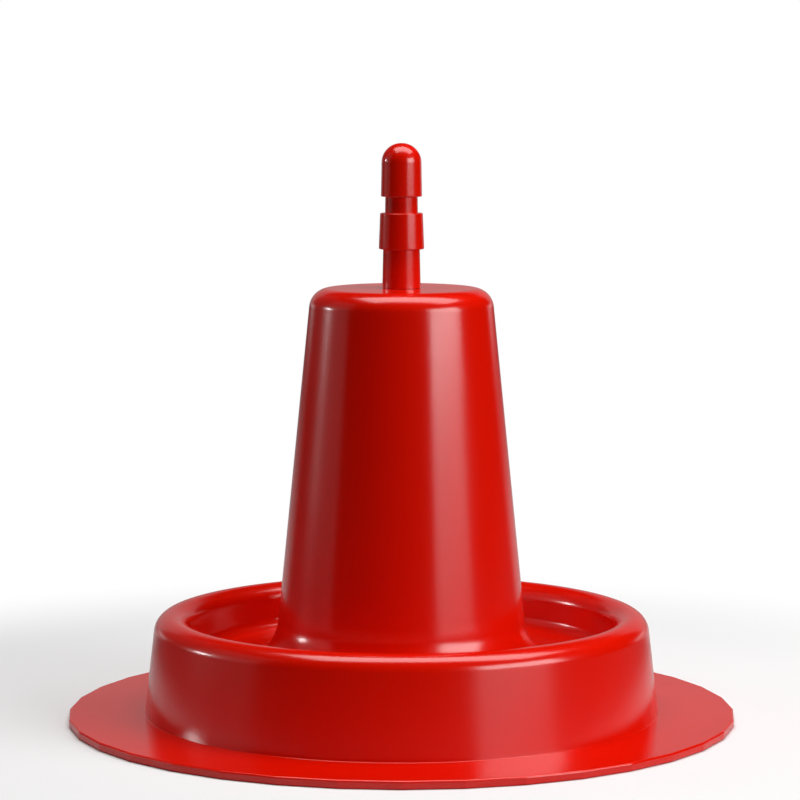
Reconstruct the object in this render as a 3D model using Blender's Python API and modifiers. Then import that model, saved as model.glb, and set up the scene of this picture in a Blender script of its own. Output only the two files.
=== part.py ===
# Moulded cone stand. One moulding forms a wide faceted flange, a rounded ring wall round a trough,
# and a tapered hollow cone, open underneath. A stepped plug stands on the cone's flat top and is
# held from inside the cone by a bolt with a spring washer and a wide washer.
# Metres, +Z up, the floor at z = 0, the cone's axis on Z.

import math

import bmesh
import bpy
from mathutils import Matrix

# Moulding
wall = 0.004                           # one thickness all over
seat_gap = 0.0003                      # between pieces that rest on each other, and at each seam
seam_room = 0.0010                     # from the end of a bend to the seam beside it
bands = ("cone_top", "cone_wall", "cone_root", "trough_floor", "ring_inner_wall", "ring_outer_wall", "flange")

# Flange
flange_width = 0.0411                  # from the ring's outer wall, as a line at ring_height, to a corner
flange_sides = 36
flange_edge_round = 0.0006

# Ring wall. Inside radii are those of the hollow side of a bend, and the wall is added to them.
ring_height = 0.0497                   # floor to the top of the ring
ring_outer_draft = math.radians(6.7)   # the outer wall spreads towards the flange
ring_outer_inside_round = 0.0042
ring_crown_flat = 0.0002               # level band between the two bends on top
ring_inner_inside_round = 0.0036
ring_inner_draft = math.radians(4.0)   # the trough narrows towards its floor
ring_foot_round = 0.0015

# Trough
trough_width = 0.0393                  # between the two walls' straight lines at the trough's floor
trough_depth = 0.0213                  # top of the ring to the trough's floor
trough_corner_round = 0.0063

# Cone
cone_height = 0.2020                   # floor to the cone's flat top
cone_top_line = 0.0420                 # radius of the wall's straight line at cone_height
cone_taper = math.radians(5.77)
cone_root_round = 0.0195
cone_top_inside_round = 0.0053

# Plug, from its foot up
stem_length = 0.0178
stem_foot_radius = 0.0089
stem_top_radius = 0.0085
collar_length = 0.0167
collar_foot_radius = 0.0105
collar_top_radius = 0.0099
neck_length = 0.0076
neck_foot_radius = 0.0076
neck_top_radius = 0.0075
head_length = 0.0247
head_foot_radius = 0.0095
dome_radius = 0.0091
plug_edge_round = 0.0004

# Bolt, insert and washers
bolt_radius = 0.0040
bolt_length = 0.0250                   # under the head
bolt_tip_chamfer = 0.0008
head_across_flats = 0.0130
head_height = 0.0053
head_chamfer = 0.0013
hole_clearance = 0.0005                # hole in the cone's top and in the wide washer, radial
thread_clearance = 0.0003              # between the bolt and the insert, radial
insert_wall = 0.0015
insert_length = 0.0140
insert_groove = 0.0005
insert_recess = 0.0003                 # the insert's foot lies this far inside the plug's foot
bore_end_room = 0.0010                 # free depth past the bolt
wide_washer_radius = 0.0150
wide_washer_thickness = 0.0015
spring_washer_width = 0.0034           # radial
spring_washer_thickness = 0.0020
spring_washer_slit = 0.0014
slit_slope = math.radians(20.0)

# Fineness of the turned shapes
shell_steps = 2 * flange_sides
plug_steps = 48
small_steps = 32
bend_steps = 5

# Places that follow from the sizes
trough_z = ring_height - trough_depth
cone_floor_line = cone_top_line + (cone_height - trough_z) * math.tan(cone_taper)
ring_floor_line = cone_floor_line + trough_width
ring_inner_line = ring_floor_line + trough_depth * math.tan(ring_inner_draft)
ring_inner_round = ring_inner_inside_round + wall
ring_outer_round = ring_outer_inside_round + wall
ring_inner_reach = ring_inner_round * math.tan(0.25 * math.pi - 0.5 * ring_inner_draft)
ring_outer_reach = ring_outer_round * math.tan(0.25 * math.pi - 0.5 * ring_outer_draft)
ring_outer_line = ring_inner_line + ring_inner_reach + ring_crown_flat + ring_outer_reach
ring_foot_line = ring_outer_line + (ring_height - wall) * math.tan(ring_outer_draft)
flange_across_corners = 2.0 * (ring_outer_line + flange_width)
cone_top_underside = cone_height - wall
wide_washer_z = cone_top_underside - seat_gap - wide_washer_thickness
spring_washer_z = wide_washer_z - seat_gap - spring_washer_thickness
bolt_seat_z = spring_washer_z - seat_gap
plug_z = cone_height + seat_gap
insert_z = plug_z + insert_recess
hole_radius = bolt_radius + hole_clearance
insert_radius = bolt_radius + thread_clearance + insert_wall
bore_radius = insert_radius + seat_gap
bore_depth = max(insert_z + insert_length, bolt_seat_z + bolt_length) - plug_z + bore_end_room


def clear_scene():
    for obj in list(bpy.data.objects):
        bpy.data.objects.remove(obj, do_unlink=True)


def new_collection(name):
    collection = bpy.data.collections.new(name)
    bpy.context.scene.collection.children.link(collection)
    return collection


def plastic(name, colour, roughness):
    return principled(name, colour, roughness, 0.0)


def metal(name, colour, roughness):
    return principled(name, colour, roughness, 1.0)


def principled(name, colour, roughness, metallic):
    material = bpy.data.materials.new(name)
    material.use_nodes = True
    shader = material.node_tree.nodes["Principled BSDF"]
    shader.inputs["Base Color"].default_value = (*colour, 1.0)
    shader.inputs["Roughness"].default_value = roughness
    shader.inputs["Metallic"].default_value = metallic
    material.diffuse_color = (*colour, 1.0)
    return material


def rounded(points, steps=bend_steps):
    # Each point is (radius, height, bend radius). A bend becomes an arc that is tangent to both
    # straight runs, and a point without one stays sharp.
    path = []
    for index, (x, z, bend) in enumerate(points):
        if bend == 0.0 or index in (0, len(points) - 1):
            path.append((x, z))
            continue
        before = direction((x, z), points[index - 1][:2])
        after = direction((x, z), points[index + 1][:2])
        half = 0.5 * math.acos(before[0] * after[0] + before[1] * after[1])
        reach = bend / math.tan(half)
        bisector = direction((0.0, 0.0), (before[0] + after[0], before[1] + after[1]))
        centre = (x + bisector[0] * bend / math.sin(half), z + bisector[1] * bend / math.sin(half))
        start = (x + before[0] * reach - centre[0], z + before[1] * reach - centre[1])
        end = (x + after[0] * reach - centre[0], z + after[1] * reach - centre[1])
        turn = math.atan2(start[0] * end[1] - start[1] * end[0], start[0] * end[0] + start[1] * end[1])
        for step in range(steps + 1):
            angle = turn * step / steps
            path.append((centre[0] + start[0] * math.cos(angle) - start[1] * math.sin(angle),
                         centre[1] + start[0] * math.sin(angle) + start[1] * math.cos(angle)))
    return path


def direction(start, end):
    length = math.hypot(end[0] - start[0], end[1] - start[1])
    return ((end[0] - start[0]) / length, (end[1] - start[1]) / length)


def turned(name, path, steps, closed=False):
    # The path runs down the outer side, top to bottom, and is turned round Z.
    mesh = bpy.data.meshes.new(name)
    edges = [(index, index + 1) for index in range(len(path) - 1)]
    if closed:
        edges.append((len(path) - 1, 0))
    mesh.from_pydata([(x, 0.0, z) for x, z in path], edges, [])
    obj = bpy.data.objects.new(name, mesh)
    screw = obj.modifiers.new("turn", "SCREW")
    screw.axis = "Z"
    screw.angle = 2.0 * math.pi
    screw.steps = steps
    screw.render_steps = steps
    screw.use_merge_vertices = True
    screw.merge_threshold = 0.00001
    screw.use_smooth_shade = True
    return obj


def prism(name, sides, radius, bottom, height):
    mesh = bpy.data.meshes.new(name)
    shape = bmesh.new()
    bmesh.ops.create_cone(shape, cap_ends=True, segments=sides, radius1=radius, radius2=radius, depth=height,
                          matrix=Matrix.Translation((0.0, 0.0, bottom + 0.5 * height)))
    shape.to_mesh(mesh)
    shape.free()
    return bpy.data.objects.new(name, mesh)


def combine(obj, cutter, operation):
    boolean = obj.modifiers.new(operation.lower(), "BOOLEAN")
    boolean.operation = operation
    boolean.solver = "EXACT"
    boolean.object = cutter
    cutter.hide_render = True
    cutter.display_type = "WIRE"
    cutters.objects.link(cutter)


def finish(obj, material, height=0.0):
    obj.location.z = height
    obj.data.materials.append(material)
    stand.objects.link(obj)
    return obj


def shell_path():
    # Outer surface of the moulding, from the bolt hole out over the cone, the trough and the ring.
    return rounded([
        (hole_radius, cone_height, 0.0),
        (cone_top_line, cone_height, cone_top_inside_round + wall),
        (cone_floor_line, trough_z, cone_root_round),
        (ring_floor_line, trough_z, trough_corner_round),
        (ring_inner_line, ring_height, ring_inner_round),
        (ring_outer_line, ring_height, ring_outer_round),
        (ring_foot_line, wall, ring_foot_round),
        (flange_across_corners, wall, 0.0),
    ])


def travelled(path, index):
    # Distance along a path to one of its points.
    return sum(math.dist(path[step], path[step + 1]) for step in range(index))


def seam_places(path):
    # Distances along the outer surface at which the moulding is cut, from the bolt hole outwards.
    # A seam inside a bend crosses one of its steps in the middle, so both ends are parallel.
    def at(bend, steps, room=0.0):
        first = 1 + bend * (bend_steps + 1)
        start, end = travelled(path, first), travelled(path, first + bend_steps)
        return start + (end - start) * steps / bend_steps + room
    return [at(0, bend_steps, seam_room), at(1, 0, -seam_room), at(1, 3.5), at(2, 2.5), at(4, 0.5),
            at(5, bend_steps, seam_room)]


def stretch(path, start, end):
    # The run of a path between two distances along it.
    run, gone = [], 0.0
    for before, after in zip(path, path[1:]):
        length = math.dist(before, after)
        if gone + length > start and gone < end:
            for place in (max(start, gone), min(end, gone + length)):
                share = (place - gone) / length
                point = (before[0] + share * (after[0] - before[0]), before[1] + share * (after[1] - before[1]))
                if not run or math.dist(run[-1], point) > 0.00001:
                    run.append(point)
        gone += length
    return run


def make_moulding(material):
    # One real piece, cut into simple bands so that its collision can follow the wall.
    path = shell_path()
    seams = seam_places(path)
    starts = [0.0] + [place + 0.5 * seat_gap for place in seams]
    ends = [place - 0.5 * seat_gap for place in seams] + [travelled(path, len(path) - 1)]
    for name, start, end in zip(bands, starts, ends):
        band = turned(name, stretch(path, start, end), shell_steps)
        thickness = band.modifiers.new("wall", "SOLIDIFY")
        thickness.thickness = wall
        thickness.offset = -1.0
        thickness.use_even_offset = True
        if name == "flange":
            trim_flange(band)
        finish(band, material)


def trim_flange(band):
    outline = prism("flange_outline", flange_sides, 0.5 * flange_across_corners, -cone_height, 3.0 * cone_height)
    combine(band, outline, "INTERSECT")
    edge = band.modifiers.new("flange_edge", "BEVEL")
    edge.width = flange_edge_round
    edge.segments = 2
    edge.limit_method = "ANGLE"
    edge.angle_limit = math.radians(60.0)


def make_plug(material):
    collar_z = stem_length
    neck_z = collar_z + collar_length
    head_z = neck_z + neck_length
    top_z = head_z + head_length
    dome_z = top_z - dome_radius
    quarter = 0.5 * math.pi
    dome = [(dome_radius * math.sin(quarter * step / 8), dome_z + dome_radius * math.cos(quarter * step / 8))
            for step in range(8)]
    dome[0] = (0.0, top_z)
    body = rounded([
        (dome_radius, dome_z, 0.0),
        (head_foot_radius, head_z, plug_edge_round),
        (neck_top_radius, head_z, 0.0),
        (neck_foot_radius, neck_z, 0.0),
        (collar_top_radius, neck_z, plug_edge_round),
        (collar_foot_radius, collar_z, plug_edge_round),
        (stem_top_radius, collar_z, 0.0),
        (stem_foot_radius, 0.0, 0.0),
        (bore_radius, 0.0, 0.0),
        (bore_radius, bore_depth, 0.0),
        (0.0, bore_depth, 0.0),
    ], steps=2)
    return finish(turned("top_plug", dome + body, plug_steps), material, plug_z)


def make_insert(material):
    # A brass insert held in the plug by two raised bands.
    inside = bolt_radius + thread_clearance
    outside = insert_radius
    waist = insert_radius - insert_groove
    third = insert_length / 3.0
    path = [(inside, insert_length), (outside, insert_length), (outside, 2.0 * third), (waist, 2.0 * third),
            (waist, third), (outside, third), (outside, 0.0), (inside, 0.0)]
    return finish(turned("plug_insert", path, small_steps, closed=True), material, insert_z)


def make_bolt(material):
    # Turned head and shank in one profile. The head is then trimmed to a hexagon.
    corner_radius = head_across_flats / math.sqrt(3.0)
    path = [(0.0, bolt_length), (bolt_radius - bolt_tip_chamfer, bolt_length),
            (bolt_radius, bolt_length - bolt_tip_chamfer), (bolt_radius, 0.0), (corner_radius, 0.0),
            (corner_radius, head_chamfer * 0.6 - head_height), (corner_radius - head_chamfer, -head_height),
            (0.0, -head_height)]
    bolt = turned("fixing_bolt", path, small_steps)
    hexagon = prism("bolt_hexagon", 6, corner_radius, -2.0 * head_height, 3.0 * head_height + bolt_length)
    hexagon.location.z = bolt_seat_z
    combine(bolt, hexagon, "INTERSECT")
    return finish(bolt, material, bolt_seat_z)


def make_wide_washer(material):
    path = [(hole_radius, wide_washer_thickness), (wide_washer_radius, wide_washer_thickness),
            (wide_washer_radius, 0.0), (hole_radius, 0.0)]
    return finish(turned("wide_washer", path, small_steps, closed=True), material, wide_washer_z)


def make_spring_washer(material):
    inside = bolt_radius + thread_clearance
    outside = inside + spring_washer_width
    path = [(inside, spring_washer_thickness), (outside, spring_washer_thickness), (outside, 0.0), (inside, 0.0)]
    washer = turned("spring_washer", path, small_steps, closed=True)
    slit = bpy.data.meshes.new("washer_slit")
    shape = bmesh.new()
    bmesh.ops.create_cube(shape, size=1.0)
    bmesh.ops.scale(shape, vec=(2.0 * outside, spring_washer_slit, 6.0 * spring_washer_thickness), verts=shape.verts)
    shape.to_mesh(slit)
    shape.free()
    cutter = bpy.data.objects.new("washer_slit", slit)
    cutter.location = (outside, 0.0, spring_washer_z + 0.5 * spring_washer_thickness)
    cutter.rotation_euler.x = slit_slope
    combine(washer, cutter, "DIFFERENCE")
    return finish(washer, material, spring_washer_z)


clear_scene()
stand = new_collection("cone_stand")
cutters = new_collection("cutters")
red_plastic = plastic("red_moulded_plastic", (0.72, 0.010, 0.004), 0.25)
brass = metal("brass", (0.72, 0.50, 0.22), 0.30)
zinc = metal("zinc_plated_steel", (0.66, 0.67, 0.68), 0.35)
make_moulding(red_plastic)
make_plug(red_plastic)
make_insert(brass)
make_bolt(zinc)
make_spring_washer(zinc)
make_wide_washer(zinc)
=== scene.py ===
import math

import bmesh
import bpy
from mathutils import Matrix, Vector


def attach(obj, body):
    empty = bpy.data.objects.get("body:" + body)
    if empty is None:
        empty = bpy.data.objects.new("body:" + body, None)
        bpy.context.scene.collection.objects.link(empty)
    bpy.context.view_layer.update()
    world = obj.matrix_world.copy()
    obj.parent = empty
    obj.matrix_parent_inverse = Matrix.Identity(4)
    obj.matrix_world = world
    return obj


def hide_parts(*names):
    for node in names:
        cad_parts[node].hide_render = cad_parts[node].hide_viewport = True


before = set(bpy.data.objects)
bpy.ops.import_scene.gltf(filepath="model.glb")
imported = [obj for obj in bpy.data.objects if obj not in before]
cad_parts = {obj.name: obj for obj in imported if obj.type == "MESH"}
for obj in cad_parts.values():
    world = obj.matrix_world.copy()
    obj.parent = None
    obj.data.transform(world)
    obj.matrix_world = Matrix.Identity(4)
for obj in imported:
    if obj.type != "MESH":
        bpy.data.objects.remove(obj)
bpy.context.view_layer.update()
print("frame loaded, CAD nodes:", ", ".join(sorted(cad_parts)))

scene = bpy.context.scene
collection = scene.collection


def toLinear(hexColour):
    # An sRGB hex value becomes the linear colour that shader sockets expect.
    parts = [int(hexColour[i:i + 2], 16) / 255.0 for i in (1, 3, 5)]
    linear = [p / 12.92 if p <= 0.04045 else ((p + 0.055) / 1.055) ** 2.4 for p in parts]
    return (*linear, 1.0)


def addNode(tree, kind, settings=None, inputs=None):
    # Settings are the node's own options. An input takes a number, a colour or another node's socket.
    node = tree.nodes.new(kind)
    for name, value in (settings or {}).items():
        setattr(node, name, value)
    for key, value in (inputs or {}).items():
        if isinstance(value, bpy.types.NodeSocket):
            tree.links.new(value, node.inputs[key])
        else:
            node.inputs[key].default_value = value
    return node


def newMaterial(name):
    material = bpy.data.materials.new(name)
    material.use_nodes = True
    tree = material.node_tree
    return material, tree, tree.nodes["Principled BSDF"]


def setShader(shader, values):
    for name, value in values.items():
        shader.inputs[name].default_value = value


# Materials

redPlasticLook = {
    "colour": "#E21200",
    "cloudColour": "#DA1100",  # pigment a shade deeper in slow clouds
    "cloudSize": 0.060,
    "roughness": 0.180,
    "roughnessSpread": 0.025,
    "grainSize": 0.0008,
    "grainDepth": 0.00002,
    "swellSize": 0.022,        # slight sink and swell of a cooled moulding
    "swellDepth": 0.00001,
    "ior": 1.56,
}


def makeRedPlastic(name, look):
    # Injection-moulded polypropylene, pigmented through. It gives the eye a saturated red, a clear
    # but soft-edged gloss, and a fine grain that glitters in the shade.
    material, tree, shader = newMaterial(name)
    place = addNode(tree, "ShaderNodeTexCoord").outputs["Object"]
    cloud = addNode(tree, "ShaderNodeTexNoise", inputs={
        "Vector": place, "Scale": 1.0 / look["cloudSize"], "Detail": 3.0, "Roughness": 0.5})
    colour = addNode(tree, "ShaderNodeMix", {"data_type": "RGBA"}, {
        "Factor": cloud.outputs["Fac"], "A": toLinear(look["colour"]), "B": toLinear(look["cloudColour"])})
    grain = addNode(tree, "ShaderNodeTexNoise", inputs={
        "Vector": place, "Scale": 1.0 / look["grainSize"], "Detail": 2.0, "Roughness": 0.6})
    swell = addNode(tree, "ShaderNodeTexNoise", inputs={
        "Vector": place, "Scale": 1.0 / look["swellSize"], "Detail": 1.0, "Roughness": 0.4})
    gloss = addNode(tree, "ShaderNodeMapRange", inputs={
        "Value": cloud.outputs["Fac"], "From Min": 0.3, "From Max": 0.7,
        "To Min": look["roughness"] - look["roughnessSpread"],
        "To Max": look["roughness"] + look["roughnessSpread"]})
    swellBump = addNode(tree, "ShaderNodeBump", inputs={
        "Height": swell.outputs["Fac"], "Distance": look["swellDepth"], "Strength": 1.0})
    grainBump = addNode(tree, "ShaderNodeBump", inputs={
        "Height": grain.outputs["Fac"], "Distance": look["grainDepth"], "Strength": 1.0,
        "Normal": swellBump.outputs["Normal"]})
    tree.links.new(colour.outputs["Result"], shader.inputs["Base Color"])
    tree.links.new(gloss.outputs["Result"], shader.inputs["Roughness"])
    tree.links.new(grainBump.outputs["Normal"], shader.inputs["Normal"])
    setShader(shader, {"IOR": look["ior"], "Metallic": 0.0})
    return material


zincLook = {
    "colour": "#C4C8CA",
    "stainColour": "#B4B1A4",  # the faint straw tint of a clear passivation
    "stainSize": 0.004,
    "stainFrom": 0.42,         # noise levels between which the tint comes in
    "stainTo": 0.72,
    "roughness": 0.34,
    "clearGloss": 0.06,        # the clear parts are smoother by this much
    "stainedDullness": 0.08,   # and the stained ones duller
    "grainSize": 0.0004,       # crystals of the plating, drawn coarse enough to show
    "grainDepth": 0.000006,
}


def makeZincSteel(name, look):
    # Cold-formed steel, barrel plated with zinc. It gives the eye a cool grey metal with a dull
    # sheen, faintly mottled where the pieces rubbed together in the barrel.
    material, tree, shader = newMaterial(name)
    place = addNode(tree, "ShaderNodeTexCoord").outputs["Object"]
    stain = addNode(tree, "ShaderNodeTexNoise", inputs={
        "Vector": place, "Scale": 1.0 / look["stainSize"], "Detail": 4.0, "Roughness": 0.6})
    blotch = addNode(tree, "ShaderNodeValToRGB", inputs={"Fac": stain.outputs["Fac"]})
    clean, stained = blotch.color_ramp.elements
    clean.position, clean.color = look["stainFrom"], toLinear(look["colour"])
    stained.position, stained.color = look["stainTo"], toLinear(look["stainColour"])
    crystals = addNode(tree, "ShaderNodeTexVoronoi", {"feature": "F1"}, {
        "Vector": place, "Scale": 1.0 / look["grainSize"], "Randomness": 1.0})
    gloss = addNode(tree, "ShaderNodeMapRange", inputs={
        "Value": stain.outputs["Fac"], "From Min": 0.3, "From Max": 0.7,
        "To Min": look["roughness"] - look["clearGloss"],
        "To Max": look["roughness"] + look["stainedDullness"]})
    bump = addNode(tree, "ShaderNodeBump", inputs={
        "Height": crystals.outputs["Distance"], "Distance": look["grainDepth"], "Strength": 1.0})
    tree.links.new(blotch.outputs["Color"], shader.inputs["Base Color"])
    tree.links.new(gloss.outputs["Result"], shader.inputs["Roughness"])
    tree.links.new(bump.outputs["Normal"], shader.inputs["Normal"])
    setShader(shader, {"Metallic": 1.0})
    return material


brassLook = {
    "colour": "#D3AE62",
    "dullColour": "#A9853F",
    "dullSize": 0.003,
    "roughness": 0.28,
    "turningSize": 0.00025,    # one ring of the lathe tool
    "turningDepth": 0.000004,
}


def makeBrass(name, look):
    # Free-cutting brass, turned from bar. It gives the eye a warm yellow metal with fine rings from
    # the tool and a little tarnish.
    material, tree, shader = newMaterial(name)
    place = addNode(tree, "ShaderNodeTexCoord").outputs["Object"]
    dull = addNode(tree, "ShaderNodeTexNoise", inputs={
        "Vector": place, "Scale": 1.0 / look["dullSize"], "Detail": 3.0, "Roughness": 0.55})
    colour = addNode(tree, "ShaderNodeMix", {"data_type": "RGBA"}, {
        "Factor": dull.outputs["Fac"], "A": toLinear(look["colour"]), "B": toLinear(look["dullColour"])})
    bandScale = 0.05 * 2.0 * math.pi / look["turningSize"]  # a wave repeats 20 times in 2 pi
    rings = addNode(tree, "ShaderNodeTexWave", {"wave_type": "BANDS", "bands_direction": "Z"}, {
        "Vector": place, "Scale": bandScale, "Distortion": 0.4})
    bump = addNode(tree, "ShaderNodeBump", inputs={
        "Height": rings.outputs["Fac"], "Distance": look["turningDepth"], "Strength": 1.0})
    tree.links.new(colour.outputs["Result"], shader.inputs["Base Color"])
    tree.links.new(bump.outputs["Normal"], shader.inputs["Normal"])
    setShader(shader, {"Metallic": 1.0, "Roughness": look["roughness"]})
    return material


mouldedRed = makeRedPlastic("mouldedRedPolypropylene", redPlasticLook)
platedSteel = makeZincSteel("zincPlatedSteel", zincLook)
turnedBrass = makeBrass("turnedBrass", brassLook)
print("materials made")


# Shapes

def turnedTree(name, corners, rimCorner=None):
    # Turns a profile with rounded bends round Z. With a rim corner named, that rim is drawn in to
    # a polygon with one side for every few turning steps.
    tree = bpy.data.node_groups.new(name, "GeometryNodeTree")
    for corner in corners:
        tree.interface.new_socket(name=corner, in_out="INPUT", socket_type="NodeSocketVector")
    for count in ("Bend Steps", "Sides", "Steps Per Side"):
        tree.interface.new_socket(name=count, in_out="INPUT", socket_type="NodeSocketInt")
    tree.interface.new_socket(name="Material", in_out="INPUT", socket_type="NodeSocketMaterial")
    tree.interface.new_socket(name="Geometry", in_out="OUTPUT", socket_type="NodeSocketGeometry")
    given = addNode(tree, "NodeGroupInput").outputs

    # Corners hold radius, bend radius and height. The spine that the profile is swept along has a
    # small radius of its own, so the profile stands nearer the axis by that much.
    spineRadius = 0.001
    pick = tree.nodes.new("GeometryNodeIndexSwitch")
    pick.data_type = "VECTOR"
    while len(pick.index_switch_items) < len(corners):
        pick.index_switch_items.new()
    tree.links.new(addNode(tree, "GeometryNodeInputIndex").outputs[0], pick.inputs[0])
    for index, corner in enumerate(corners):
        tree.links.new(given[corner], pick.inputs[index + 1])
    parts = addNode(tree, "ShaderNodeSeparateXYZ", inputs={0: pick.outputs[0]}).outputs
    inward = addNode(tree, "ShaderNodeMath", {"operation": "SUBTRACT"}, {0: parts["X"], 1: spineRadius})
    downward = addNode(tree, "ShaderNodeMath", {"operation": "MULTIPLY"}, {0: parts["Z"], 1: -1.0})
    spot = addNode(tree, "ShaderNodeCombineXYZ", inputs={"X": inward.outputs[0], "Y": downward.outputs[0]})
    line = addNode(tree, "GeometryNodeMeshLine", inputs={"Count": len(corners)})
    profile = addNode(tree, "GeometryNodeSetPosition", inputs={
        "Geometry": line.outputs[0], "Position": spot.outputs[0]})
    curve = addNode(tree, "GeometryNodeMeshToCurve", inputs={"Mesh": profile.outputs[0]})
    bends = addNode(tree, "GeometryNodeFilletCurve", {"mode": "POLY"}, {
        "Curve": curve.outputs[0], "Count": given["Bend Steps"], "Radius": parts["Y"]})
    around = addNode(tree, "ShaderNodeMath", {"operation": "MULTIPLY"}, {
        0: given["Sides"], 1: given["Steps Per Side"]})
    spine = addNode(tree, "GeometryNodeCurvePrimitiveCircle", inputs={
        "Resolution": around.outputs[0], "Radius": spineRadius})
    upright = addNode(tree, "GeometryNodeSetCurveNormal", inputs={"Curve": spine.outputs[0]})
    upright.mode = "Z_UP"
    shape = addNode(tree, "GeometryNodeCurveToMesh", inputs={
        "Curve": upright.outputs[0], "Profile Curve": bends.outputs[0]})
    if rimCorner:
        shape = drawRimIn(tree, shape, given[rimCorner], given["Sides"])
    real = addNode(tree, "GeometryNodeRealizeInstances", inputs={"Geometry": shape.outputs[0]})
    painted = addNode(tree, "GeometryNodeSetMaterial", inputs={
        "Geometry": real.outputs[0], "Material": given["Material"]})
    addNode(tree, "NodeGroupOutput", inputs={0: painted.outputs[0]})
    return tree


def drawRimIn(tree, shape, rim, sides):
    # Each side of the rim becomes a chord between two corners, and the corners stay where they are.
    rimDepth = 0.0001          # what lies this near the rim counts as the rim
    here = addNode(tree, "GeometryNodeInputPosition").outputs[0]
    spread = addNode(tree, "ShaderNodeSeparateXYZ", inputs={0: here}).outputs
    flat = addNode(tree, "ShaderNodeVectorMath", {"operation": "MULTIPLY"}, {0: here, 1: (1.0, 1.0, 0.0)})
    reach = addNode(tree, "ShaderNodeVectorMath", {"operation": "LENGTH"}, {0: flat.outputs[0]})
    angle = addNode(tree, "ShaderNodeMath", {"operation": "ARCTAN2"}, {0: spread["Y"], 1: spread["X"]})
    side = addNode(tree, "ShaderNodeMath", {"operation": "DIVIDE"}, {0: 2.0 * math.pi, 1: sides})
    half = addNode(tree, "ShaderNodeMath", {"operation": "MULTIPLY"}, {0: side.outputs[0], 1: 0.5})
    along = addNode(tree, "ShaderNodeMath", {"operation": "FLOORED_MODULO"}, {
        0: angle.outputs[0], 1: side.outputs[0]})
    offMiddle = addNode(tree, "ShaderNodeMath", {"operation": "SUBTRACT"}, {
        0: along.outputs[0], 1: half.outputs[0]})
    cosHalf = addNode(tree, "ShaderNodeMath", {"operation": "COSINE"}, {0: half.outputs[0]})
    cosOff = addNode(tree, "ShaderNodeMath", {"operation": "COSINE"}, {0: offMiddle.outputs[0]})
    share = addNode(tree, "ShaderNodeMath", {"operation": "DIVIDE"}, {
        0: cosHalf.outputs[0], 1: cosOff.outputs[0]})
    scale = addNode(tree, "ShaderNodeCombineXYZ", inputs={
        "X": share.outputs[0], "Y": share.outputs[0], "Z": 1.0})
    drawn = addNode(tree, "ShaderNodeVectorMath", {"operation": "MULTIPLY"}, {0: here, 1: scale.outputs[0]})
    rimRadius = addNode(tree, "ShaderNodeSeparateXYZ", inputs={0: rim}).outputs["X"]
    rimStart = addNode(tree, "ShaderNodeMath", {"operation": "SUBTRACT"}, {0: rimRadius, 1: rimDepth})
    onRim = addNode(tree, "FunctionNodeCompare", {"data_type": "FLOAT", "operation": "GREATER_THAN"}, {
        0: reach.outputs["Value"], 1: rimStart.outputs[0]})
    return addNode(tree, "GeometryNodeSetPosition", inputs={
        "Geometry": shape.outputs[0], "Selection": onRim.outputs[0], "Position": drawn.outputs[0]})


def growFromTree(name, tree, values):
    # Runs a tree with the given inputs and keeps what it makes as a plain mesh.
    holder = bpy.data.objects.new(name + "Holder", bpy.data.meshes.new(name + "Holder"))
    collection.objects.link(holder)
    modifier = holder.modifiers.new("shape", "NODES")
    modifier.node_group = tree
    for item in tree.interface.items_tree:
        if item.item_type == "SOCKET" and item.in_out == "INPUT":
            modifier[item.identifier] = values[item.name]
    mesh = meshOf(holder, name)
    bpy.data.objects.remove(holder)
    return mesh


def meshOf(obj, name):
    bpy.context.view_layer.update()
    mesh = bpy.data.meshes.new_from_object(obj.evaluated_get(bpy.context.evaluated_depsgraph_get()))
    mesh.name = name
    return mesh


def bakeModifiers(obj):
    # Turns an object's modifiers into its own mesh.
    mesh = meshOf(obj, obj.data.name)
    obj.modifiers.clear()
    obj.data = mesh
    return obj


def turnedPiece(name, corners, material, bendSteps, sides, stepsPerSide=1, rimCorner=None):
    mergeDistance = 0.000002
    values = {**corners, "Bend Steps": bendSteps, "Sides": sides, "Steps Per Side": stepsPerSide,
              "Material": material}
    mesh = growFromTree(name, turnedTree(name + "Tree", corners, rimCorner), values)
    work = bmesh.new()
    work.from_mesh(mesh)
    bmesh.ops.remove_doubles(work, verts=work.verts, dist=mergeDistance)
    bmesh.ops.dissolve_degenerate(work, edges=work.edges, dist=mergeDistance)
    bmesh.ops.recalc_face_normals(work, faces=work.faces)
    for face in work.faces:
        face.smooth = True
    work.to_mesh(mesh)
    work.free()
    obj = bpy.data.objects.new(name, mesh)
    collection.objects.link(obj)
    return obj


def sharpenWhere(mesh, test):
    # Marks as sharp the edges for which the test holds at both ends, and no others.
    work = bmesh.new()
    work.from_mesh(mesh)
    for edge in work.edges:
        edge.smooth = not all(test(v.co) for v in edge.verts)
    work.to_mesh(mesh)
    work.free()


def prism(name, sides, radius, bottom, height):
    work = bmesh.new()
    bmesh.ops.create_cone(work, cap_ends=True, segments=sides, radius1=radius, radius2=radius, depth=height,
                          matrix=Matrix.Translation((0.0, 0.0, bottom + 0.5 * height)))
    mesh = bpy.data.meshes.new(name)
    work.to_mesh(mesh)
    work.free()
    obj = bpy.data.objects.new(name, mesh)
    collection.objects.link(obj)
    return obj


def carve(obj, cutter, operation):
    boolean = obj.modifiers.new("carve", "BOOLEAN")
    boolean.operation = operation
    boolean.solver = "EXACT"
    boolean.object = cutter
    bakeModifiers(obj)
    bpy.data.objects.remove(cutter)


def evenShade(obj, sharpAngle=None):
    # Flat faces keep their shade right up to a rounded edge.
    if sharpAngle:
        obj.data.set_sharp_from_angle(angle=sharpAngle)
    even = obj.modifiers.new("evenShade", "WEIGHTED_NORMAL")
    even.keep_sharp = True
    even.weight = 90           # leans on the large faces
    return bakeModifiers(obj)


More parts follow.
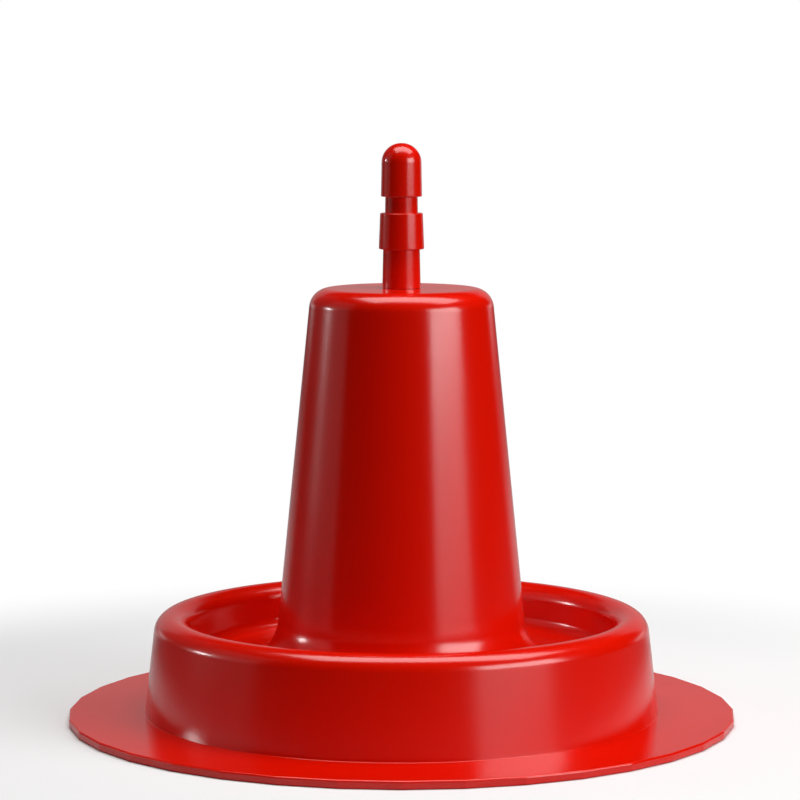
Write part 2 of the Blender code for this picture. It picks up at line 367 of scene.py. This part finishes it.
def roundEdges(obj, width, segments, angle):
    edge = obj.modifiers.new("edge", "BEVEL")
    edge.width = width
    edge.segments = segments
    edge.limit_method = "ANGLE"
    edge.angle_limit = angle
    return bakeModifiers(obj)


def handOver(obj, slot, *nodes):
    # The piece takes the place of its CAD nodes and stays with the one body.
    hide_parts(*nodes)
    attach(obj, "root")
    print(obj.name, "made:", len(obj.data.polygons), "faces")


# The moulding: flange, ring wall, trough and cone in one turned wall

moulding = {
    "wall": 0.0040,
    "holeRadius": 0.0045,
    "coneHeight": 0.2020,
    "coneTopLine": 0.0420,
    "coneTaper": math.radians(5.77),
    "coneTopRound": 0.0093,
    "coneRootRound": 0.0195,
    "ringHeight": 0.0497,
    "troughWidth": 0.0393,     # between the walls' straight lines at the trough's floor
    "troughDepth": 0.0213,
    "troughCornerRound": 0.0063,
    "ringInnerRound": 0.0076,
    "ringInnerDraft": math.radians(4.0),
    "crownFlat": 0.0002,
    "ringOuterRound": 0.0082,
    "ringOuterDraft": math.radians(6.7),
    "ringFootRound": 0.0003,   # the crease shows as a sharp line
    "flangeWidth": 0.0411,     # from the ring's outer wall, as a line at its top, to a corner
    "flangeSides": 36,
    "flangeEdgeRound": 0.0010,
    "edgeAngle": math.radians(60.0),   # edges that turn by more are rounded
    "edgeSteps": 4,
    "stepsPerSide": 8,         # turning steps for each side of the flange
    "bendSteps": 18,           # points in each bend of the profile
}


def mouldingCorners(size):
    # Corners of the outer surface's profile, each as radius, bend radius and height.
    floorZ = size["ringHeight"] - size["troughDepth"]
    coneFoot = size["coneTopLine"] + (size["coneHeight"] - floorZ) * math.tan(size["coneTaper"])
    troughEdge = coneFoot + size["troughWidth"]
    innerLine = troughEdge + size["troughDepth"] * math.tan(size["ringInnerDraft"])
    innerReach = size["ringInnerRound"] * math.tan(0.25 * math.pi - 0.5 * size["ringInnerDraft"])
    outerReach = size["ringOuterRound"] * math.tan(0.25 * math.pi - 0.5 * size["ringOuterDraft"])
    outerLine = innerLine + innerReach + size["crownFlat"] + outerReach
    flangeRoot = outerLine + (size["ringHeight"] - size["wall"]) * math.tan(size["ringOuterDraft"])
    return {
        "Hole Edge": (size["holeRadius"], 0.0, size["coneHeight"]),
        "Cone Top": (size["coneTopLine"], size["coneTopRound"], size["coneHeight"]),
        "Cone Foot": (coneFoot, size["coneRootRound"], floorZ),
        "Trough Edge": (troughEdge, size["troughCornerRound"], floorZ),
        "Ring Inside": (innerLine, size["ringInnerRound"], size["ringHeight"]),
        "Ring Outside": (outerLine, size["ringOuterRound"], size["ringHeight"]),
        "Flange Root": (flangeRoot, size["ringFootRound"], size["wall"]),
        "Flange Rim": (outerLine + size["flangeWidth"], 0.0, size["wall"]),
    }


def makeMoulding(size):
    corners = mouldingCorners(size)
    base = turnedPiece("mouldedBase", corners, mouldedRed, size["bendSteps"],
                       size["flangeSides"], size["stepsPerSide"], rimCorner="Flange Rim")
    flange = max(base.data.polygons, key=lambda face: face.center.xy.length)
    if flange.normal.z < 0.0:
        base.data.flip_normals()
    thickness = base.modifiers.new("wall", "SOLIDIFY")
    thickness.thickness = size["wall"]
    thickness.offset = -1.0
    thickness.use_even_offset = True
    bakeModifiers(base)
    roundEdges(base, size["flangeEdgeRound"], size["edgeSteps"], size["edgeAngle"])

    # The flange's upright corners stay crisp. The slack is far less than one turning step.
    side = 2.0 * math.pi / size["flangeSides"]
    slack = 0.02
    near = corners["Flange Rim"][0] * math.cos(0.5 * side) - 2.0 * size["flangeEdgeRound"]

    def onCorner(place):
        turns = math.atan2(place.y, place.x) / side
        return place.xy.length > near and abs(turns - round(turns)) < slack

    sharpenWhere(base.data, onCorner)
    return evenShade(base)


base = makeMoulding(moulding)
handOver(base, "red_plastic", "cone_top", "cone_wall", "cone_root", "trough_floor",
         "ring_inner_wall", "ring_outer_wall", "flange")


# The plug, from its foot up

plug = {
    "footZ": 0.2021,
    "stemLength": 0.0180, "stemFoot": 0.0089, "stemTop": 0.0085,
    "collarLength": 0.0167, "collarFoot": 0.0105, "collarTop": 0.0099,
    "neckLength": 0.0076, "neckFoot": 0.0076, "neckTop": 0.0075,
    "headLength": 0.0247, "headFoot": 0.0095, "domeRadius": 0.0091,
    "edgeRound": 0.0005,
    "rootRound": 0.0003,       # where one step springs from the next
    "footRound": 0.0002,
    "poleFlat": 0.0001,        # the dome's bend stops this far short of the axis
    "boreRadius": 0.0061, "boreDepth": 0.0175, "boreEndRound": 0.0005,
    "turningSteps": 160,
    "bendSteps": 20,
}


def makePlug(size):
    collarZ = size["footZ"] + size["stemLength"]
    neckZ = collarZ + size["collarLength"]
    headZ = neckZ + size["neckLength"]
    topZ = headZ + size["headLength"]
    boreTop = size["footZ"] + size["boreDepth"]
    edge, root, foot = size["edgeRound"], size["rootRound"], size["footRound"]
    corners = {
        "Pole": (0.0, 0.0, topZ),
        "Dome": (size["domeRadius"], size["domeRadius"] - size["poleFlat"], topZ),
        "Head Foot": (size["headFoot"], edge, headZ),
        "Neck Top": (size["neckTop"], root, headZ),
        "Neck Foot": (size["neckFoot"], root, neckZ),
        "Collar Top": (size["collarTop"], edge, neckZ),
        "Collar Foot": (size["collarFoot"], edge, collarZ),
        "Stem Top": (size["stemTop"], root, collarZ),
        "Stem Foot": (size["stemFoot"], foot, size["footZ"]),
        "Bore Edge": (size["boreRadius"], foot, size["footZ"]),
        "Bore End": (size["boreRadius"], size["boreEndRound"], boreTop),
        "Bore Middle": (0.0, 0.0, boreTop),
    }
    obj = turnedPiece("topPlug", corners, mouldedRed, size["bendSteps"], size["turningSteps"])
    return evenShade(obj)


topPlug = makePlug(plug)
handOver(topPlug, "red_plastic", "top_plug")


# Fixing inside the cone: insert, bolt and two washers

smallParts = {
    "turningSteps": 96,
    "bendSteps": 4,
    "washerSharp": math.radians(40.0),  # edges that turn by more keep a hard shade
    "boltSharp": math.radians(35.0),
    "insertSharp": math.radians(30.0),
}


def ringCorners(inside, outside, bottom, top, edge):
    # A closed profile, from the middle of the bore round to the same place.
    middle = 0.5 * (bottom + top)
    return {
        "Bore Start": (inside, 0.0, middle),
        "Bore Top": (inside, edge, top),
        "Rim Top": (outside, edge, top),
        "Rim Foot": (outside, edge, bottom),
        "Bore Foot": (inside, edge, bottom),
        "Bore Finish": (inside, 0.0, middle),
    }


wideWasher = {"inside": 0.0045, "outside": 0.0150, "bottom": 0.1962, "top": 0.1977, "edge": 0.00025}

punchedWasher = turnedPiece("wideWasher", ringCorners(**wideWasher), platedSteel,
                            smallParts["bendSteps"], smallParts["turningSteps"])
handOver(evenShade(punchedWasher, smallParts["washerSharp"]), "zinc_steel", "wide_washer")


springWasher = {"inside": 0.0043, "outside": 0.0077, "bottom": 0.1939, "top": 0.1959, "edge": 0.00022}
slit = {"wide": 0.0014, "slope": math.radians(20.0), "edge": 0.00012, "edgeAngle": math.radians(60.0)}


def makeSpringWasher(ring, cut):
    washer = turnedPiece("springWasher", ringCorners(**ring), platedSteel,
                         smallParts["bendSteps"], smallParts["turningSteps"])
    # The blade is a slanted block that starts on the axis and ends past the rim.
    bladeHeight = 8.0 * (ring["top"] - ring["bottom"])
    blade = prism("slitBlade", 4, math.sqrt(2.0), 0.0, 1.0)
    blade.data.transform(Matrix.Rotation(math.radians(45.0), 4, "Z"))
    blade.data.transform(Matrix.Diagonal((ring["outside"], 0.5 * cut["wide"], bladeHeight, 1.0)))
    blade.data.transform(Matrix.Translation((ring["outside"], 0.0, -0.5 * bladeHeight)))
    blade.data.transform(Matrix.Rotation(cut["slope"], 4, "X"))
    blade.data.transform(Matrix.Translation((0.0, 0.0, 0.5 * (ring["bottom"] + ring["top"]))))
    carve(washer, blade, "DIFFERENCE")
    roundEdges(washer, cut["edge"], 2, cut["edgeAngle"])
    return evenShade(washer, smallParts["washerSharp"])


handOver(makeSpringWasher(springWasher, slit), "zinc_steel", "spring_washer")


bolt = {
    "seatZ": 0.1936,
    "acrossFlats": 0.0130,
    "headHeight": 0.0053,
    "headChamfer": 0.0013,     # radial
    "chamferSlope": 0.6,       # its height for each unit of radius
    "headTurned": 0.0001,      # edge left by the turning, before the flats are cut
    "headEdge": 0.00012,
    "edgeAngle": math.radians(50.0),
    "shankRadius": 0.0040,
    "shankLength": 0.0250,
    "tipChamfer": 0.0008,
    "pitch": 0.00125,
    "threadDepth": 0.00065,
    "stepsAround": 64,
    "stepsPerPitch": 10,
}


def threadTree():
    # A grid of angle by height is rolled into a shank, with a helical groove in it and a tapered tip.
    tree = bpy.data.node_groups.new("threadedShank", "GeometryNodeTree")
    for name in ("Radius", "Length", "Pitch", "Depth", "Tip Chamfer", "Seat Height"):
        tree.interface.new_socket(name=name, in_out="INPUT", socket_type="NodeSocketFloat")
    for name in ("Steps Around", "Steps Along"):
        tree.interface.new_socket(name=name, in_out="INPUT", socket_type="NodeSocketInt")
    tree.interface.new_socket(name="Material", in_out="INPUT", socket_type="NodeSocketMaterial")
    tree.interface.new_socket(name="Geometry", in_out="OUTPUT", socket_type="NodeSocketGeometry")
    given = addNode(tree, "NodeGroupInput").outputs
    grid = addNode(tree, "GeometryNodeMeshGrid", inputs={
        "Size X": 2.0 * math.pi, "Size Y": given["Length"],
        "Vertices X": given["Steps Around"], "Vertices Y": given["Steps Along"]})
    here = addNode(tree, "ShaderNodeSeparateXYZ", inputs={
        0: addNode(tree, "GeometryNodeInputPosition").outputs[0]}).outputs
    height = addNode(tree, "ShaderNodeMath", {"operation": "MULTIPLY_ADD"}, {
        0: given["Length"], 1: 0.5, 2: here["Y"]})
    rise = addNode(tree, "ShaderNodeMath", {"operation": "DIVIDE"}, {
        0: height.outputs[0], 1: given["Pitch"]})
    turns = addNode(tree, "ShaderNodeMath", {"operation": "DIVIDE"}, {0: here["X"], 1: 2.0 * math.pi})
    phase = addNode(tree, "ShaderNodeMath", {"operation": "SUBTRACT"}, {
        0: rise.outputs[0], 1: turns.outputs[0]})
    flank = addNode(tree, "ShaderNodeMath", {"operation": "PINGPONG"}, {0: phase.outputs[0], 1: 0.5})
    cut = addNode(tree, "ShaderNodeMath", {"operation": "MULTIPLY"}, {0: flank.outputs[0], 1: 2.0})
    depth = addNode(tree, "ShaderNodeMath", {"operation": "MULTIPLY"}, {
        0: cut.outputs[0], 1: given["Depth"]})
    grooved = addNode(tree, "ShaderNodeMath", {"operation": "SUBTRACT"}, {
        0: given["Radius"], 1: depth.outputs[0]})
    toTip = addNode(tree, "ShaderNodeMath", {"operation": "SUBTRACT"}, {
        0: given["Length"], 1: height.outputs[0]})
    tipRadius = addNode(tree, "ShaderNodeMath", {"operation": "SUBTRACT"}, {
        0: given["Radius"], 1: given["Tip Chamfer"]})
    taper = addNode(tree, "ShaderNodeMath", {"operation": "ADD"}, {
        0: tipRadius.outputs[0], 1: toTip.outputs[0]})
    radius = addNode(tree, "ShaderNodeMath", {"operation": "MINIMUM"}, {
        0: grooved.outputs[0], 1: taper.outputs[0]})
    cosine = addNode(tree, "ShaderNodeMath", {"operation": "COSINE"}, {0: here["X"]})
    sine = addNode(tree, "ShaderNodeMath", {"operation": "SINE"}, {0: here["X"]})
    x = addNode(tree, "ShaderNodeMath", {"operation": "MULTIPLY"}, {
        0: cosine.outputs[0], 1: radius.outputs[0]})
    y = addNode(tree, "ShaderNodeMath", {"operation": "MULTIPLY"}, {
        0: sine.outputs[0], 1: radius.outputs[0]})
    z = addNode(tree, "ShaderNodeMath", {"operation": "ADD"}, {
        0: height.outputs[0], 1: given["Seat Height"]})
    place = addNode(tree, "ShaderNodeCombineXYZ", inputs={
        "X": x.outputs[0], "Y": y.outputs[0], "Z": z.outputs[0]})
    rolled = addNode(tree, "GeometryNodeSetPosition", inputs={
        "Geometry": grid.outputs["Mesh"], "Position": place.outputs[0]})
    joined = addNode(tree, "GeometryNodeMergeByDistance", inputs={
        "Geometry": rolled.outputs[0], "Distance": 0.00001})
    real = addNode(tree, "GeometryNodeRealizeInstances", inputs={"Geometry": joined.outputs[0]})
    painted = addNode(tree, "GeometryNodeSetMaterial", inputs={
        "Geometry": real.outputs[0], "Material": given["Material"]})
    addNode(tree, "NodeGroupOutput", inputs={0: painted.outputs[0]})
    return tree


def makeBolt(size):
    seat, edge = size["seatZ"], size["headTurned"]
    headFoot = seat - size["headHeight"]
    corner = size["acrossFlats"] / math.sqrt(3.0)
    chamferTop = headFoot + size["chamferSlope"] * size["headChamfer"]
    head = turnedPiece("fixingBolt", {
        "Seat Middle": (0.0, 0.0, seat),
        "Seat Rim": (corner, edge, seat),
        "Chamfer Top": (corner, edge, chamferTop),
        "Chamfer Foot": (corner - size["headChamfer"], edge, headFoot),
        "Head Middle": (0.0, 0.0, headFoot),
    }, platedSteel, smallParts["bendSteps"], smallParts["turningSteps"])
    hexagon = prism("hexagon", 6, corner, headFoot - size["headHeight"], 4.0 * size["headHeight"])
    carve(head, hexagon, "INTERSECT")
    roundEdges(head, size["headEdge"], 3, size["edgeAngle"])

    steps = int(size["stepsPerPitch"] * size["shankLength"] / size["pitch"])
    shank = growFromTree("shank", threadTree(), {
        "Radius": size["shankRadius"], "Length": size["shankLength"], "Pitch": size["pitch"],
        "Depth": size["threadDepth"], "Tip Chamfer": size["tipChamfer"], "Seat Height": seat,
        "Steps Around": size["stepsAround"] + 1, "Steps Along": steps + 1, "Material": platedSteel})
    joined = bmesh.new()
    joined.from_mesh(shank)
    ends = [edge for edge in joined.edges if edge.is_boundary]
    bmesh.ops.holes_fill(joined, edges=ends)
    bmesh.ops.recalc_face_normals(joined, faces=joined.faces)
    joined.from_mesh(head.data)
    for face in joined.faces:
        face.smooth = True
    joined.to_mesh(head.data)
    joined.free()
    return evenShade(head, smallParts["boltSharp"])


handOver(makeBolt(bolt), "zinc_steel", "fixing_bolt")


insert = {
    "footZ": 0.2026, "length": 0.0140, "inside": 0.0043, "outside": 0.0058, "waist": 0.0053,
    "edge": 0.0001,
    "flutes": 24,              # flat sides that keep it from turning in the plug
    "stepsPerFlute": 4,
    "bendSteps": 3,
}


def makeInsert(size):
    # Two raised bands with a groove between them. The bands and the groove are a third each.
    foot, top = size["footZ"], size["footZ"] + size["length"]
    low, high = foot + size["length"] / 3.0, foot + size["length"] * 2.0 / 3.0
    inside, outside, waist, edge = size["inside"], size["outside"], size["waist"], size["edge"]
    middle = 0.5 * (low + high)
    corners = {
        "Bore Start": (inside, 0.0, middle),
        "Bore Top": (inside, edge, top),
        "Top Rim": (outside, edge, top),
        "Top Band": (outside, edge, high),
        "Waist Top": (waist, edge, high),
        "Waist Foot": (waist, edge, low),
        "Foot Band": (outside, edge, low),
        "Foot Rim": (outside, edge, foot),
        "Bore Foot": (inside, edge, foot),
        "Bore Finish": (inside, 0.0, middle),
    }
    ring = turnedPiece("plugInsert", corners, turnedBrass, size["bendSteps"],
                       size["flutes"], size["stepsPerFlute"], rimCorner="Top Rim")
    return evenShade(ring, smallParts["insertSharp"])


handOver(makeInsert(insert), "brass", "plug_insert")


# Stage: a white floor, soft boxes above and to the right, and a dim room

studio = {
    "floorReach": 6.0,         # from the middle to each side
    "floorWhite": 0.86,        # as the camera sees it
    "clearStart": 0.26,        # past this distance the floor fades to plain white
    "clearEnd": 0.42,
    # The object's sides see the floor lighter under the object and in a wedge behind it, and darker farther
    # off.
    "nearBounce": 0.52,
    "farBounce": 0.08,
    "nearFadeStart": 0.22,        # distance at which the lighter floor under the object begins to fade
    "nearFadeEnd": 0.37,
    "wedgeOuter": math.radians(50.0),  # half the angle of the lighter wedge behind, at its soft outer edge
    "wedgeInner": math.radians(36.0),    # and at its inner edge
    # A soft box keeps its brightness when its size changes. "watts" is for each square metre of it.
    "lamps": {
        "topBox": {"at": (0.43, 0.015, 2.20), "towards": (0.43, 0.015, 0.0),
                   "wide": 3.01, "high": 1.26, "watts": 11.8},
        "lowBox": {"at": (0.20, -0.077, 1.10), "towards": (0.20, -0.077, 0.0),
                   "wide": 1.26, "high": 0.69, "watts": 3.16},
        "rightBox": {"at": (1.493, -1.007, 0.708), "towards": (0.0, 0.0, 0.708),
                     "wide": 1.35, "high": 0.758, "watts": 21.2},
    },
    # A small lamp and dim walls, far off. Their edges are in degrees, with azimuth from the camera's
    # side towards +X, and each edge fades over "soft" degrees on both sides of it. The two edge
    # strips show along the sides of the cone. "light" is a panel's brightness, where plain white is 1.
    "room": {
        "leftLamp": {"azimuth": (-108.0, -99.5), "elevation": (5.5, 9.5), "soft": 0.7, "light": 30.5},
        "rightLow": {"azimuth": (33.5, 71.0), "elevation": (0.5, 5.5), "soft": 3.0, "light": 2.4},
        "leftLow": {"azimuth": (-112.0, -70.0), "elevation": (-4.0, 10.0), "soft": 2.0, "light": 0.30},
        "leftMid": {"azimuth": (-112.0, -70.0), "elevation": (10.0, 22.0), "soft": 2.0, "light": 0.35},
        "leftHigh": {"azimuth": (-112.0, -70.0), "elevation": (22.0, 42.0), "soft": 2.0, "light": 0.20},
        "leftBack": {"azimuth": (-150.0, -112.0), "elevation": (-4.0, 42.0), "soft": 2.0, "light": 0.07},
        "edgeRight": {"azimuth": (137.0, 152.0), "elevation": (-4.0, 5.0), "soft": 2.0, "light": 0.80},
        "edgeLeft": {"azimuth": (208.0, 220.0), "elevation": (-4.0, 5.0), "soft": 2.0, "light": 0.70},
        "backLow": {"azimuth": (150.0, 210.0), "elevation": (-4.0, 12.0), "soft": 2.0, "light": 0.33},
        "backHigh": {"azimuth": (150.0, 210.0), "elevation": (12.0, 26.0), "soft": 2.0, "light": 0.27},
    },
}


def aimedLamp(name, look):
    light = bpy.data.lights.new(name, "AREA")
    light.shape = "RECTANGLE"
    light.size = look["wide"]
    light.size_y = look["high"]
    light.energy = look["watts"] * look["wide"] * look["high"]
    lamp = bpy.data.objects.new(name, light)
    lamp.location = look["at"]
    aim = Vector(look["towards"]) - Vector(look["at"])
    lamp.rotation_euler = aim.to_track_quat("-Z", "Y").to_euler()
    lamp.visible_camera = False
    collection.objects.link(lamp)


def makeFloor(look):
    material = bpy.data.materials.new("studioFloor")
    material.use_nodes = True
    tree = material.node_tree
    tree.nodes.clear()
    place = addNode(tree, "ShaderNodeTexCoord").outputs["Object"]
    reach = addNode(tree, "ShaderNodeVectorMath", {"operation": "LENGTH"}, {0: place})

    # The camera sees the object's shadow on a lit floor, and plain white past it.
    clear = addNode(tree, "ShaderNodeMapRange", {"interpolation_type": "SMOOTHSTEP"}, {
        "Value": reach.outputs["Value"], "From Min": look["clearStart"], "From Max": look["clearEnd"]})
    lit = addNode(tree, "ShaderNodeBsdfDiffuse", inputs={"Color": (look["floorWhite"],) * 3 + (1.0,)})
    plain = addNode(tree, "ShaderNodeEmission", inputs={"Color": (1.0, 1.0, 1.0, 1.0), "Strength": 1.0})
    seen = addNode(tree, "ShaderNodeMixShader", inputs={
        0: clear.outputs["Result"], 1: lit.outputs[0], 2: plain.outputs[0]})

    # The object sees the floor lighter under itself and in a wedge behind it, and darker farther off.
    under = addNode(tree, "ShaderNodeMapRange", {"interpolation_type": "SMOOTHSTEP"}, {
        "Value": reach.outputs["Value"], "From Min": look["nearFadeEnd"], "From Max": look["nearFadeStart"]})
    spread = addNode(tree, "ShaderNodeSeparateXYZ", inputs={0: place}).outputs
    behind = addNode(tree, "ShaderNodeMath", {"operation": "DIVIDE"}, {
        0: spread["Y"], 1: reach.outputs["Value"]})
    wedge = addNode(tree, "ShaderNodeMapRange", {"interpolation_type": "SMOOTHSTEP"}, {
        "Value": behind.outputs[0], "From Min": math.cos(look["wedgeOuter"]),
        "From Max": math.cos(look["wedgeInner"])})
    either = addNode(tree, "ShaderNodeMath", {"operation": "MAXIMUM"}, {
        0: under.outputs["Result"], 1: wedge.outputs["Result"]})
    bounceTone = addNode(tree, "ShaderNodeMapRange", inputs={
        "Value": either.outputs[0], "To Min": look["farBounce"], "To Max": look["nearBounce"]})
    bounce = addNode(tree, "ShaderNodeBsdfDiffuse", inputs={"Color": bounceTone.outputs["Result"]})
    path = addNode(tree, "ShaderNodeLightPath").outputs
    choice = addNode(tree, "ShaderNodeMixShader", inputs={
        0: path["Is Camera Ray"], 1: bounce.outputs[0], 2: seen.outputs[0]})
    addNode(tree, "ShaderNodeOutputMaterial", inputs={"Surface": choice.outputs[0]})

    far = look["floorReach"]
    mesh = bpy.data.meshes.new("studioFloor")
    mesh.from_pydata([(-far, -far, 0.0), (far, -far, 0.0), (far, far, 0.0), (-far, far, 0.0)],
                     [], [(0, 1, 2, 3)])
    mesh.materials.append(material)
    floor = bpy.data.objects.new("studioFloor", mesh)
    collection.objects.link(floor)


def windowOf(tree, value, start, end, soft):
    # 1 between start and end and 0 outside, with soft edges.
    rise = addNode(tree, "ShaderNodeMapRange", {"interpolation_type": "SMOOTHSTEP"}, {
        "Value": value, "From Min": start - soft, "From Max": start + soft})
    fall = addNode(tree, "ShaderNodeMapRange", {"interpolation_type": "SMOOTHSTEP"}, {
        "Value": value, "From Min": end + soft, "From Max": end - soft})
    return addNode(tree, "ShaderNodeMath", {"operation": "MULTIPLY"}, {
        0: rise.outputs["Result"], 1: fall.outputs["Result"]}).outputs[0]


def makeRoom(look):
    world = bpy.data.worlds.new("dimRoom")
    world.use_nodes = True
    tree = world.node_tree
    tree.nodes.clear()
    towards = addNode(tree, "ShaderNodeTexCoord").outputs["Generated"]
    way = addNode(tree, "ShaderNodeSeparateXYZ", inputs={0: towards}).outputs
    back = addNode(tree, "ShaderNodeMath", {"operation": "MULTIPLY"}, {0: way["Y"], 1: -1.0})
    turn = addNode(tree, "ShaderNodeMath", {"operation": "ARCTAN2"}, {0: way["X"], 1: back.outputs[0]})
    degrees = addNode(tree, "ShaderNodeMath", {"operation": "DEGREES"}, {0: turn.outputs[0]})
    rise = addNode(tree, "ShaderNodeMath", {"operation": "ARCSINE"}, {0: way["Z"]})
    height = addNode(tree, "ShaderNodeMath", {"operation": "DEGREES"}, {0: rise.outputs[0]})
    total = 0.0
    for panel in look["room"].values():
        start, end = panel["azimuth"]
        half = 0.5 * (end - start)
        fromMiddle = addNode(tree, "ShaderNodeMath", {"operation": "SUBTRACT"}, {
            0: degrees.outputs[0], 1: start + half})
        wrapped = addNode(tree, "ShaderNodeMath", {"operation": "WRAP"}, {
            0: fromMiddle.outputs[0], 1: 180.0, 2: -180.0})
        across = windowOf(tree, wrapped.outputs[0], -half, half, panel["soft"])
        up = windowOf(tree, height.outputs[0], *panel["elevation"], panel["soft"])
        shared = addNode(tree, "ShaderNodeMath", {"operation": "MULTIPLY"}, {0: across, 1: up})
        total = addNode(tree, "ShaderNodeMath", {"operation": "MULTIPLY_ADD"}, {
            0: shared.outputs[0], 1: panel["light"], 2: total}).outputs[0]
    room = addNode(tree, "ShaderNodeBackground", inputs={"Color": (1.0, 1.0, 1.0, 1.0), "Strength": total})
    plain = addNode(tree, "ShaderNodeBackground", inputs={"Color": (1.0, 1.0, 1.0, 1.0), "Strength": 1.0})
    path = addNode(tree, "ShaderNodeLightPath").outputs
    choice = addNode(tree, "ShaderNodeMixShader", inputs={
        0: path["Is Camera Ray"], 1: room.outputs[0], 2: plain.outputs[0]})
    addNode(tree, "ShaderNodeOutputWorld", inputs={"Surface": choice.outputs[0]})
    scene.world = world


makeFloor(studio)
for lampName, lampLook in studio["lamps"].items():
    aimedLamp(lampName, lampLook)
makeRoom(studio)
print("stage made")


# Camera, solved from the photograph

cameraLook = {"at": (-0.000684, -1.52663, 0.31142), "downward": math.radians(6.046), "lens": 148.35}

view = bpy.data.cameras.new("view")
view.sensor_width = 36.0
view.lens = cameraLook["lens"]
view.clip_end = 30.0
camera = bpy.data.objects.new("view", view)
camera.location = cameraLook["at"]
camera.rotation_euler = (0.5 * math.pi - cameraLook["downward"], 0.0, 0.0)
collection.objects.link(camera)
scene.camera = camera
scene.view_settings.view_transform = "Standard"
print("camera set")
